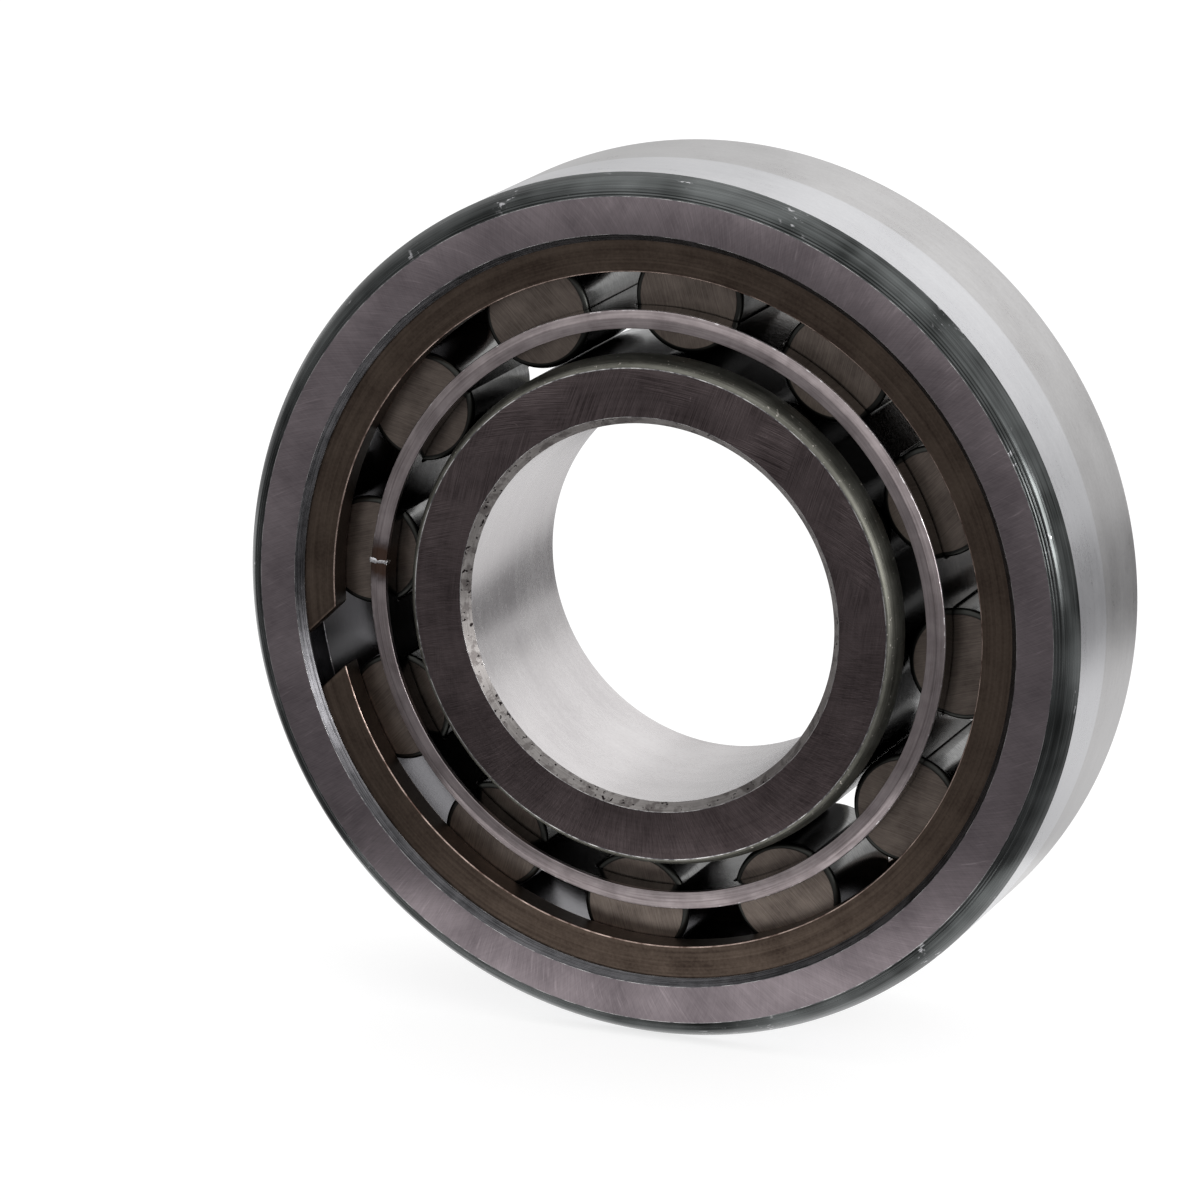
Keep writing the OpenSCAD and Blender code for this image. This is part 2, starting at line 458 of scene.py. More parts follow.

# %% [markdown]
# ## The turned corners, and the worn edges with a painted highlight
#
# The corners aren't ground: the lathe's finish and the dark scale of heat treatment stay on
# them. That makes a blue-grey band with a soft sheen, mottled and nicked. The thin edges
# between two finishes are rubbed bright, and a painted highlight glints on them in short
# lengths and not all along.

# %% Turned corners


def turned_corner(tree, at):
    """Dark blue-grey turned steel, mottled, with small bright nicks."""
    line = round_lines(tree, at, at["height"], 0.14, 3.0)
    mottle = blotches(tree, at, 7.0, 2)
    where = ramp(tree, blotches(tree, at, 5.0, 1), 0.58, 0.66)
    nick = ramp(tree, round_lines(tree, at, at["height"], 0.3, 50.0, 4), 0.6, 0.68)
    nick = add(tree, "ShaderNodeMath", {0: nick, 1: where}, operation="MULTIPLY").outputs[0]
    tone = total(tree, (ramp(tree, line), 0.45), (ramp(tree, mottle, 0.34, 0.66), 0.55))
    colour = mix(tree, nick, mix(tree, tone, "#1f2120", "#707373"), "#c9c8cb")
    relief = total(tree, (line, 0.8), (nick, -0.6))
    return colour, ramp(tree, tone, 0.1, 0.9, 0.16, 0.28), relief, 0.016


def turned_chamfer(tree, at):
    """The chamfer beside the retaining ring: dark grey steel with lines from the tool."""
    line = round_lines(tree, at, at["height"], 0.07, 4.0)
    mottle = blotches(tree, at, 1.6)
    tone = total(tree, (ramp(tree, line, 0.32, 0.68), 0.6), (ramp(tree, mottle), 0.4))
    colour = mix(tree, tone, "#1d1e1f", "#6f6e71")
    return colour, ramp(tree, tone, 0.0, 1.0, 0.2, 0.34), line, 0.02


def worn_edge(tree, at):
    """An edge rubbed bright, with a painted highlight in short lengths."""
    # near-white patches along the edge: partly rubbed wear, partly a painted highlight
    patch = ramp(tree, blotches(tree, at, 1.1, 4), 0.42, 0.6)
    colour = mix(tree, patch, "#6a686c", "#e6e4e4")
    return colour, ramp(tree, patch, 0.0, 1.0, 0.34, 0.2), patch, 0.006


def pitted_chamfer(tree, at):
    """The bore's chamfer: purple-grey steel, mottled dark, with small pits."""
    patch = ramp(tree, blotches(tree, at, 1.2, 6), 0.51, 0.59)
    pit = ramp(tree, blotches(tree, at, 0.5, 2), 0.63, 0.67)
    line = round_lines(tree, at, at["height"], 0.08, 5.0)
    mottle = blotches(tree, at, 2.0)
    tone = total(tree, (ramp(tree, line), 0.45), (ramp(tree, mottle), 0.55))
    steel_tone = mix(tree, tone, "#6c6866", "#a39f9d")
    scaled = mix(tree, total(tree, (patch, 0.55)), steel_tone, "#47403f")
    relief = total(tree, (line, 0.3), (patch, -0.3), (pit, -1.0))
    return mix(tree, pit, scaled, "#231e1f"), ramp(tree, tone, 0.0, 1.0, 0.4, 0.52), relief, 0.02


corner_steel = steel("turned_steel_corner", turned_corner)
chamfer_steel = steel("turned_steel_chamfer", turned_chamfer)
edge_steel = steel("worn_steel_edge", worn_edge)
pitted_steel = steel("pitted_steel_bore_chamfer", pitted_chamfer)
print("turned steels:", corner_steel.name, chamfer_steel.name, edge_steel.name, pitted_steel.name)

# %% [markdown]
# ## The outer ring
#
# The outer ring is a hardened ring with a straight raceway and a groove near each end for a
# retaining ring. Its outside corner is the part that catches the eye: it starts with a few
# grooves cut by the lathe, less than a tenth of a millimetre deep, then swells smoothly and
# meets the ground outside at a crisp edge. The grooves are in the outline itself, so they
# glint as real grooves do.

# %% Corner of the outer ring
CORNER_TURN = math.radians(50)   # how far the corner turns before it meets the outside
TOOL_PITCH = 0.25                # mm between two tool grooves
TOOL_DEPTH = 0.06                # mm
TOOL_GROOVES = 3
GROOVE_STEPS = 8                 # facets across one tool groove
SWELL_STEPS = 15                 # facets in the smooth rest of the corner
corner_top = outer_face[-1]
corner_drop = half_width - top_at("outer_ring", outside_r)
sweep_r = (outside_r - corner_top) / math.sin(CORNER_TURN)
sweep_h = corner_drop / (1 - math.cos(CORNER_TURN))


def corner_point(turn, sink=0.0):
    """A point of the eased corner after a turn, sunk below the surface by so many mm."""
    slope = Vector((sweep_r * math.cos(turn), -sweep_h * math.sin(turn))).normalized()
    return (corner_top + sweep_r * math.sin(turn) + slope.y * sink,
            half_width - sweep_h * (1 - math.cos(turn)) - slope.x * sink)


groove_zone = TOOL_PITCH * TOOL_GROOVES / sweep_r
corner = []
for k in range(TOOL_GROOVES * GROOVE_STEPS):
    share = k / (TOOL_GROOVES * GROOVE_STEPS)
    sink = TOOL_DEPTH * math.sin(math.pi * share * TOOL_GROOVES) ** 2
    corner.append((*corner_point(groove_zone * share, sink), 0, "corner" if k else "edge"))
for k in range(SWELL_STEPS):
    turn = groove_zone + (CORNER_TURN - groove_zone) * k / SWELL_STEPS
    corner.append((*corner_point(turn), 0, "corner"))
print(f"corner: {len(corner)} points, {corner_drop:.2f} mm along the outside")

# %% Build the outer ring
GROOVE_PLAY = 0.05    # mm by which the groove is wider than the retaining ring in it
groove_bottom = snap_back - GROOVE_PLAY
mouth_r = radii_at("outer_ring", snap_front)[0]
chamfer_foot = top_at("outer_ring", mouth_r)
print(f"mouth of radius {mouth_r:.2f}, chamfered from height {chamfer_foot:.2f}")
outer_front = [
    (outer_race_r, groove_bottom, 0.08, "groove"),
    (groove_r, groove_bottom, 0, "groove"),
    (groove_r, snap_front, 0, "groove"),
    (mouth_r, snap_front, 0.04, "chamfer"),
    (mouth_r, chamfer_foot, 0.04, "chamfer"),
    (outer_face[0], half_width, 0.04, "face"),
    *corner,
    (outside_r, half_width - corner_drop, 0.05, "outside"),
]
outer_finishes = {"face": outer_face_steel, "corner": corner_steel, "outside": outside_steel,
                  "chamfer": chamfer_steel, "groove": chamfer_steel, "race": race_steel,
                  "edge": edge_steel}
outer_outline = soften(both_ends(outer_front, "race"), "edge")
outer_ring = lathe("outer_ring_steel", outer_outline, outer_finishes)
print(f"outer ring: {len(outer_outline)} points in the outline, "
      f"{len(outer_ring.data.polygons)} faces")

# %% [markdown]
# ## The inner ring
#
# The inner ring is a plain sleeve. Its raceway runs out to the faces through a long, gentle
# lead-in, so that the ring slides in between the rollers without marking them. The lead-in is
# a quarter of an ellipse, which leaves the face square and ends along the raceway. Its last
# stretch in the CAD model falls by less than 0.02 mm, so it is taken as raceway here.

# %% Build the inner ring
LEAD_STEPS = 16
lead_in = half_width - top_at("inner_ring", inner_race_r)
bore_drop = half_width - top_at("inner_ring", bore_r)
lead_points = []
for k in range(1, LEAD_STEPS + 1):
    turn = math.pi / 2 * k / LEAD_STEPS
    lead_points.append((inner_face[-1] + (inner_race_r - inner_face[-1]) * math.sin(turn),
                        half_width - lead_in * (1 - math.cos(turn)), 0,
                        "lead_in" if k < LEAD_STEPS else "race"))


def lead_in_steel(tree, at):
    """The turned lead-in: dark grey-green steel with lines from the tool."""
    line = round_lines(tree, at, at["height"], 0.11, 3.0)
    mottle = blotches(tree, at, 3.0)
    glint = ramp(tree, blotches(tree, at, 0.4, 5), 0.64, 0.7)
    tone = total(tree, (ramp(tree, line), 0.5), (ramp(tree, mottle), 0.5))
    colour = mix(tree, glint, mix(tree, tone, "#55554d", "#8f8e86"), "#e2ddd4")
    return colour, ramp(tree, tone, 0.0, 1.0, 0.4, 0.54), line, 0.01


inner_front = [
    (bore_r, half_width - bore_drop, 0.06, "bore_chamfer"),
    (inner_face[0], half_width, 0.05, "face"),
    (inner_face[-1], half_width, 0, "edge"),
    *lead_points,
]
inner_finishes = {"face": inner_face_steel, "bore": bore_steel, "bore_chamfer": pitted_steel,
                  "lead_in": steel("turned_steel_lead_in", lead_in_steel),
                  "race": oiled_race_steel, "edge": edge_steel}
inner_outline = soften(both_ends(inner_front, "bore"), "edge")
inner_ring = lathe("inner_ring_steel", inner_outline, inner_finishes)
print(f"inner ring: {len(inner_outline)} points in the outline, lead-in {lead_in:.2f} mm")

# %% [markdown]
# ## A tree that sets out stations
#
# Rollers and cage bars repeat round the axis at even angles, which is work for Geometry Nodes.
# The tree lays a point for every station, keeps one or all of them, and puts the piece there.
# Rollers need one station each, because each is a body of its own and must be able to turn.
# The cage needs all twelve at once, joined to each other.

# %% Station tree


def build_station_tree():
    """Geometry Nodes that repeat a piece round the Y axis."""
    tree = bpy.data.node_groups.new("stations_round_axis", "GeometryNodeTree")
    sockets = (("Geometry", "NodeSocketGeometry"), ("Count", "NodeSocketInt"),
               ("Circle radius", "NodeSocketFloat"), ("First angle", "NodeSocketFloat"),
               ("Station", "NodeSocketInt"), ("Steel", "NodeSocketMaterial"))
    for label, kind in sockets:
        tree.interface.new_socket(label, in_out="INPUT", socket_type=kind)
    tree.interface.new_socket("Geometry", in_out="OUTPUT", socket_type="NodeSocketGeometry")
    given = add(tree, "NodeGroupInput").outputs
    index = add(tree, "GeometryNodeInputIndex").outputs[0]
    step = add(tree, "ShaderNodeMath", {0: 2 * math.pi, 1: given["Count"]}, operation="DIVIDE")
    angle = add(tree, "ShaderNodeMath", {0: index, 1: step.outputs[0], 2: given["First angle"]},
                operation="MULTIPLY_ADD").outputs[0]
    across = add(tree, "ShaderNodeMath", {0: angle}, operation="COSINE").outputs[0]
    up = add(tree, "ShaderNodeMath", {0: angle}, operation="SINE").outputs[0]
    toward = add(tree, "ShaderNodeCombineXYZ", {"X": across, "Z": up}).outputs[0]
    place = add(tree, "ShaderNodeVectorMath", {0: toward, "Scale": given["Circle radius"]},
                operation="SCALE").outputs[0]
    points = add(tree, "GeometryNodePoints", {"Count": given["Count"], "Position": place})
    this_one = add(tree, "FunctionNodeCompare", {2: index, 3: given["Station"]},
                   data_type="INT", operation="EQUAL").outputs[0]
    every_one = add(tree, "FunctionNodeCompare", {2: given["Station"], 3: 0},
                    data_type="INT", operation="LESS_THAN").outputs[0]
    chosen = add(tree, "FunctionNodeBooleanMath", {0: this_one, 1: every_one}, operation="OR")
    turned = add(tree, "ShaderNodeMath", {0: angle, 1: -1.0}, operation="MULTIPLY").outputs[0]
    facing = add(tree, "ShaderNodeCombineXYZ", {"Y": turned}).outputs[0]
    whole = add(tree, "GeometryNodeGeometryToInstance", {"Geometry": given["Geometry"]})
    copies = add(tree, "GeometryNodeInstanceOnPoints",
                 {"Points": points.outputs[0], "Selection": chosen.outputs[0],
                  "Instance": whole.outputs[0], "Rotation": facing})
    joined = add(tree, "GeometryNodeRealizeInstances", {"Geometry": copies.outputs[0]})
    welded = add(tree, "GeometryNodeMergeByDistance",
                 {"Geometry": joined.outputs[0], "Distance": 0.001 * MM})
    steeled = add(tree, "GeometryNodeSetMaterial",
                  {"Geometry": welded.outputs[0], "Material": given["Steel"]})
    add(tree, "NodeGroupOutput", {"Geometry": steeled.outputs[0]})
    return tree


def settle(piece):
    """Makes a piece's modifiers part of its mesh and takes them off."""
    graph = bpy.context.evaluated_depsgraph_get()
    mesh = bpy.data.meshes.new_from_object(piece.evaluated_get(graph),
                                           preserve_all_data_layers=True, depsgraph=graph)
    piece.modifiers.clear()
    piece.data = mesh
    return piece


def set_out(piece, **inputs):
    """Runs the station tree on a piece; inputs are named as the tree names them."""
    modifier = piece.modifiers.new("stations", "NODES")
    modifier.node_group = station_tree
    keys = {item.name.replace(" ", "_").lower(): item.identifier
            for item in station_tree.interface.items_tree if item.in_out == "INPUT"}
    for name, value in inputs.items():
        modifier[keys[name]] = value
    return settle(piece)


station_tree = build_station_tree()
print("station tree:", len(station_tree.nodes), "nodes")

# %% [markdown]
# ## The rollers
#
# A roller is a short ground cylinder with flat ends and rounded corners. It is turned from an
# outline too, which starts and ends on its own axis. Each point also remembers where it was on
# the roller, in millimetres, in an attribute called `own`. The steel reads that, so the grind
# marks stay centred on every roller wherever it stands. One steel covers the whole roller, and
# its recipe picks the end, the corner or the flank from that same place on the roller.

# %% Roller steel and shape
CORNER_L = 0.5       # mm, how far the rounded corner runs along the roller
CORNER_R = 0.5       # mm, how far it runs across the end
NOTCH = 0.03         # mm, the small step from the flat end down to the corner
RELIEF_R = 2.4       # mm, where the flat end has one more loop, to keep it flat
ROLLER_STEPS = 120   # facets in one full turn of a roller
FLAT_R = roller_r - CORNER_R - NOTCH


def roller_steel_recipe(tree, at):
    """Brown-grey ground ends, a dark line of painted shade at the step, a corner painted dark as
    shade, and bright ground flanks.
    """
    straight = add(tree, "ShaderNodeVectorRotate", {"Vector": at["place"], "Axis": (0, 1, 0),
                                                    "Angle": 0.35}).outputs[0]
    # grind marks 2 mm long and a fourteenth of a millimetre wide
    drawn = add(tree, "ShaderNodeVectorMath", {0: straight, 1: (1 / 2, 1 / 2, 14.0)},
                operation="MULTIPLY").outputs[0]
    grind = add(tree, "ShaderNodeTexNoise", {"Vector": drawn, "Scale": 1.0, "Detail": 3.0,
                                             "Roughness": 0.65}).outputs[0]
    cloud = blotches(tree, at, 2.6)
    tone = total(tree, (ramp(tree, grind, 0.34, 0.66), 0.42), (ramp(tree, cloud), 0.5))
    end = mix(tree, tone, "#544b46", "#94887f")
    line = round_lines(tree, at, at["height"], 0.1, 6.0)
    flank = mix(tree, ramp(tree, line), "#5e5e5e", "#8b8b8a")
    # the rounded corner is painted dark: painted shade, standing in for the shade the corner lies
    # in
    rounding = mix(tree, cloud, "#232322", "#4c4d4a")
    out = ramp(tree, at["radius"], FLAT_R - 0.02, FLAT_R + 0.05)
    away = add(tree, "ShaderNodeMath", {0: at["height"]}, operation="ABSOLUTE").outputs[0]
    flank_ends = roller_half - CORNER_L
    down = ramp(tree, away, flank_ends - 0.02, flank_ends + 0.04, 1.0, 0.0)
    # a dark line painted at the step between the flat end and the corner: painted shade in that
    # crease
    dark_line = add(tree, "ShaderNodeMath", {0: at["radius"], 1: FLAT_R + NOTCH, 2: 0.05},
                    operation="COMPARE").outputs[0]
    colour = mix(tree, down, mix(tree, out, end, rounding), flank)
    colour = mix(tree, total(tree, (dark_line, 0.4)), colour, "#1c1a1a")
    rough = ramp(tree, down, 0.0, 1.0, 0.33, 0.16)
    return colour, rough, total(tree, (grind, 0.5), (line, 0.15)), 0.008


roller_steel = steel("ground_bearing_steel_roller", roller_steel_recipe, attribute="own")
half_outline = [(0, roller_half), (RELIEF_R, roller_half), (FLAT_R - NOTCH, roller_half),
                (FLAT_R, roller_half), (FLAT_R + 0.02, roller_half - NOTCH)]
for k in range(1, 11):
    turn = math.pi / 2 * k / 10
    half_outline.append((FLAT_R + NOTCH + CORNER_R * math.sin(turn),
                         roller_half - NOTCH - (CORNER_L - NOTCH) * (1 - math.cos(turn))))
half_outline += [(roller_r, roller_half - CORNER_L - NOTCH), (roller_r, 0)]
roller_outline = [(r, h, "ground") for r, h in half_outline]
roller_outline += [(r, -h, "ground") for r, h in reversed(half_outline[:-1])]
pattern_roller = lathe("roller_pattern", roller_outline, {"ground": roller_steel}, closed=False,
                       steps=ROLLER_STEPS)
own = pattern_roller.data.attributes.new("own", "FLOAT_VECTOR", "POINT")
for vertex, entry in zip(pattern_roller.data.vertices, own.data):
    entry.vector = vertex.co / MM
print("roller pattern:", len(pattern_roller.data.polygons), "faces")

# %% Set out the rollers
roller_pieces = []
for station, node in enumerate(rollers):
    piece = bpy.data.objects.new(node + "_ground", pattern_roller.data)
    bpy.context.scene.collection.objects.link(piece)
    set_out(piece, count=len(rollers), circle_radius=pitch_r * MM, first_angle=first_angle,
            station=station, steel=roller_steel)
    roller_pieces.append(piece)
bpy.data.objects.remove(pattern_roller)
print("rollers set out:", len(roller_pieces))

# %% [markdown]
# ## The cage
#
# The cage keeps the rollers apart. It is a strip of sheet steel with twelve punched windows,
# bent into a hoop and welded. One twelfth of it is modelled: a window with rounded corners and
# half a bar on each side. The window is drawn as a loop of points, and loops spread out from
# it to the edge of the sector, which gives an even mesh with no thin slivers. The station tree
# repeats it. The outer part of each end slopes away, as a shear leaves it, and that end is
# then made a little wavy before a Bevel modifier breaks every edge.

# %% Cage sector
WINDOW_FILLET = 0.5    # mm, in the corners of a window
WINDOW_GAP = 0.15      # mm between a roller and the side of its window
WINDOW_END_GAP = 0.2   # mm between a roller's end and the window's end
RIM_RIDGE = 0.55       # share of the sheet, from inside, where the sheared edge starts to slope
RIM_FALL = 0.36        # mm, by which the edge has fallen at the outside
BAND_LOOPS = (0.0, 0.3, 0.65, 1.0)     # shares of the way from window to sector edge
END_LOOPS = (RIM_RIDGE - 0.04, RIM_RIDGE + 0.02, RIM_RIDGE + 0.08)    # shares of the sheet
away_from_weld = [v.co for v in cad_nodes["cage"].data.vertices if v.co.x > 0]
cage_radii = [math.hypot(co.x, co.z) / MM for co in away_from_weld]
cage_inner_r, cage_outer_r = min(cage_radii), max(cage_radii)
cage_half = max(co.y for co in away_from_weld) / MM
window_half = roller_half + WINDOW_END_GAP
half_step = math.pi / len(rollers)


def window_angle(r):
    """Half the angle that a window spans at radius r, as its round-sided cut leaves it."""
    cut = roller_r + WINDOW_GAP
    return math.acos((r * r + pitch_r * pitch_r - cut * cut) / (2 * r * pitch_r))


def rim_height(share):
    """Height of the sheared edge at a share of the sheet's thickness, counted from inside."""
    return cage_half - RIM_FALL * max(0.0, share - RIM_RIDGE) / (1 - RIM_RIDGE)


def sector_loops():
    """Matching loops of (u, height): the window's edge, and the sector's edge; u is 1 at the
    side of the window and 2 at the middle of the bar."""
    fillet_u = WINDOW_FILLET / (cage_outer_r * window_angle(cage_outer_r))
    inner, outer = [], []
    for k in range(6):
        u = (1 - fillet_u) * k / 6
        inner.append((u, window_half))
        outer.append((u, cage_half))
    for k in range(7):
        angle = math.pi / 2 * (1 - k / 6)
        inner.append((1 - fillet_u + fillet_u * math.cos(angle),
                      window_half - WINDOW_FILLET * (1 - math.sin(angle))))
        if k <= 3:
            outer.append((1 - fillet_u + (1 + fillet_u) * k / 3, cage_half))
        else:
            outer.append((2, cage_half + (window_half - WINDOW_FILLET - cage_half) * (k - 3) / 3))
    for k in range(1, 4):
        h = (window_half - WINDOW_FILLET) * (1 - k / 3)
        inner.append((1, h))
        outer.append((2, h))
    loops = []
    for quarter in (inner, outer):
        right = quarter + [(u, -h) for u, h in reversed(quarter[:-1])]
        loops.append(right + [(-u, h) for u, h in reversed(right[1:-1])])
    return loops


def build_sector():
    """One twelfth of the cage, its window centred on the X axis."""
    edge, rim = sector_loops()
    bm = bmesh.new()

    def point(u, h, r):
        spread = window_angle(r)
        past = max(abs(u) - 1, 0)
        angle = math.copysign(spread * min(abs(u), 1) + (half_step - spread) * past, u)
        return bm.verts.new((r * math.cos(angle) * MM, -h * MM, r * math.sin(angle) * MM))

    sheets = []
    for r in (cage_inner_r, cage_outer_r):
        sheet = []
        for share in BAND_LOOPS:
            row = []
            for (u0, h0), (u1, h1) in zip(edge, rim):
                h = h0 + (h1 - h0) * share
                if r == cage_outer_r and abs(h) == cage_half:
                    h = math.copysign(rim_height(1), h)
                row.append(point(u0 + (u1 - u0) * share, h, r))
            sheet.append(row)
        sheets.append(sheet)
    inside, outside = sheets
    for sheet in sheets:
        for low, high in zip(sheet, sheet[1:]):
            faces_between(bm, low, high)
    faces_between(bm, inside[0], outside[0])
    for j, (_, height) in enumerate(rim):
        k = (j + 1) % len(rim)
        if abs(height) != cage_half or abs(rim[k][1]) != cage_half:
            continue
        columns = []
        for i in (j, k):
            u, h = rim[i]
            column = [inside[-1][i]]
            for share in END_LOOPS:
                r = cage_inner_r + (cage_outer_r - cage_inner_r) * share
                column.append(point(u, math.copysign(rim_height(share), h), r))
            columns.append([*column, outside[-1][i]])
        here, there = columns
        for a in range(len(here) - 1):
            bm.faces.new((here[a], there[a], there[a + 1], here[a + 1]))
    return finish_mesh("cage_strip", bm, [])


cage = build_sector()
print(f"cage r {cage_inner_r:.2f} to {cage_outer_r:.2f}, half length {cage_half:.2f}, "
      f"sector {len(cage.data.polygons)} faces")

# %% [markdown]
# ## The steel of the cage and its weld
#
# The strip is pickled sheet steel, dark with oil, with fine lines along it from rolling. Its
# inside, which faces the inner ring, is painted nearly black as painted shade. Its sheared ends
# are paler and purple-grey. They have a dark seam where the cut broke away and a bright line at
# the outside, partly rubbed and partly a painted highlight. The weld burnt the strip brown on
# both sides. That tint depends on the distance from the weld, which the material works out from
# the point's direction, so the tint goes round the edge of the strip as heat does.

# %% Cage steel
WELD_ANGLE = math.radians(175.3)


def sheared_colour(tree, at, tone, cloud, fleck):
    """The sheared end: purple-grey, a wavering dark seam, the outermost line rubbed bright and
    painted as a highlight.
    """
    seam_r = cage_inner_r + RIM_RIDGE * (cage_outer_r - cage_inner_r) + 0.08
    wavering = total(tree, (at["radius"], 1.0), (cloud, 0.16))
    seam = add(tree, "ShaderNodeMath", {0: wavering, 1: seam_r, 2: 0.07},
               operation="COMPARE").outputs[0]
    # the bright outermost line is partly a rubbed edge and partly a painted highlight
    rubbed = ramp(tree, total(tree, (at["radius"], 1.0), (fleck, 0.1)),
                  cage_outer_r - 0.06, cage_outer_r - 0.01)
    sheared = mix(tree, tone, "#716869", "#bfb4b5")
    sheared = mix(tree, total(tree, (seam, 0.28)), sheared, "#3b3236")
    return mix(tree, total(tree, (rubbed, 0.9)), sheared, "#efeaec")


def burnt_colour(tree, at, colour, cloud, fleck):
    """The colour with the weld's burn over it: brown at the weld, then a blue-grey fringe."""
    weld = (math.cos(WELD_ANGLE), 0, math.sin(WELD_ANGLE))
    apart = add(tree, "ShaderNodeVectorMath", {0: at["unit"], 1: weld}, operation="DISTANCE")
    chord = add(tree, "ShaderNodeMath", {0: apart.outputs["Value"], 1: at["radius"]},
                operation="MULTIPLY").outputs[0]
    ragged = total(tree, (chord, 1.0), (cloud, 1.6), (fleck, 0.3))
    blue = ramp(tree, ragged, 2.4, 3.2, 0.45, 0.0)
    brown = ramp(tree, ragged, 1.7, 2.7, 0.8, 0.0)
    return mix(tree, brown, mix(tree, blue, colour, "#3f3d42"), "#4b3220")


def cage_recipe(tree, at):
    """Rolled strip, paler on its sheared ends, painted nearly black inside as shade, burnt at each
    side of the weld.
    """
    lines = round_lines(tree, at, at["height"], 0.12, 3.0)
    ring = round_lines(tree, at, at["radius"], 0.14, 5.0)
    cloud = blotches(tree, at, 2.2)
    fleck = ramp(tree, blotches(tree, at, 0.7, 5), 0.52, 0.66)
    tone = total(tree, (ramp(tree, lines), 0.25), (ramp(tree, ring), 0.35),
                 (ramp(tree, cloud, 0.32, 0.68), 0.4))
    away = add(tree, "ShaderNodeMath", {0: at["height"]}, operation="ABSOLUTE").outputs[0]
    slope_foot = cage_half - RIM_FALL
    end = ramp(tree, away, slope_foot - 0.24, slope_foot - 0.16)
    # the inside of the strip, which faces the inner ring, is painted nearly black: painted shade
    hollow = ramp(tree, at["radius"], cage_inner_r + 0.02, cage_inner_r + 0.1, 0.75, 0.0)
    sheet = mix(tree, hollow, mix(tree, tone, "#2f2c2b", "#6a6662"), "#141213")
    colour = mix(tree, end, sheet, sheared_colour(tree, at, tone, cloud, fleck))
    colour = burnt_colour(tree, at, colour, cloud, fleck)
    relief = total(tree, (ring, 0.5), (lines, 0.5), (fleck, 0.15))
    rough = total(tree, (ramp(tree, tone, 0.1, 0.9, 0.18, 0.12), 1.0), (end, 0.17))
    return colour, rough, relief, 0.014


cage_steel = steel("pickled_strip_steel_cage", cage_recipe)
print("cage steel:", cage_steel.name)

# %% Repeat the sector and break its edges
RIM_WAVE = 0.09        # mm, the most that the sheared end strays inwards
EDGE_BREAK = 0.1       # mm
set_out(cage, count=len(rollers), circle_radius=0.0, first_angle=first_angle, station=-1,
        steel=cage_steel)
for vertex in cage.data.vertices:
    spot = vertex.co
    turn = math.atan2(spot.z, spot.x)
    wave = 0.5 + 0.28 * math.sin(7 * turn + 1.0) + 0.22 * math.sin(17 * turn + 2.0)
    near_rim = max(0.0, (abs(spot.y) / MM - window_half) / (cage_half - window_half))
    spot.y -= math.copysign(RIM_WAVE * MM * wave * near_rim, spot.y)
bevel = cage.modifiers.new("sheared_edge", "BEVEL")
bevel.limit_method = "ANGLE"
bevel.angle_limit = math.radians(40)
bevel.width = EDGE_BREAK * MM
bevel.segments = 3
bevel.harden_normals = True
settle(cage)
print("cage:", len(cage.data.polygons), "faces")

# %% [markdown]
# ## The weld
#
# The strip's ends are butted and fused, which leaves a small bright bead over the sheet. It
# could be a stretched sphere, but a real bead follows the sheet up one side, over the edge and
# down the other, and it ripples where the metal set. So it is a flat tube along that path,
# half sunk in the sheet, whose width swells and shrinks.

# %% Weld beads
BEAD_HALF_WIDTH = 0.22     # mm
BEAD_HEIGHT = 0.08         # mm above the sheet
BEAD_SINK = 0.08           # mm, from the strip's end down to the bead's centre line
BEAD_TURN = 0.12           # mm, the radius with which it turns over the strip's edges
BEAD_RUN = 0.7             # mm, its straight run down each side of the strip
BEAD_POINTS = 12


def weld_steel_recipe(tree, at):
    """Bright frozen metal with small ripples and dark flecks."""
    ripple = blotches(tree, at, 0.3, 4)
    fleck = ramp(tree, blotches(tree, at, 0.16, 3), 0.58, 0.66)
    colour = mix(tree, ramp(tree, ripple), "#9a989b", "#f0eff2")
    return (mix(tree, fleck, colour, "#4a4442"),
            ramp(tree, ripple, 0.3, 0.7, 0.2, 0.4), ripple, 0.05)


def bead_path():
    """Points (radius, height, outward radial part, outward axial part) over one band."""
    inner, outer, top = cage_inner_r, cage_outer_r, cage_half - BEAD_SINK
    rise = [(inner, top - BEAD_TURN - BEAD_RUN + BEAD_RUN * k / 4, -1, 0) for k in range(5)]
    for k in range(1, 5):
        a = math.pi / 2 * k / 5
        rise.append((inner + BEAD_TURN * (1 - math.cos(a)), top - BEAD_TURN * (1 - math.sin(a)),
                     -math.cos(a), math.sin(a)))
    level = outer - inner - 2 * BEAD_TURN
    over = [(inner + BEAD_TURN + level * k / 7, top, 0, 1) for k in range(8)]
    fall = [(inner + outer - r, h, -across, along) for r, h, across, along in reversed(rise)]
    return rise + over + fall


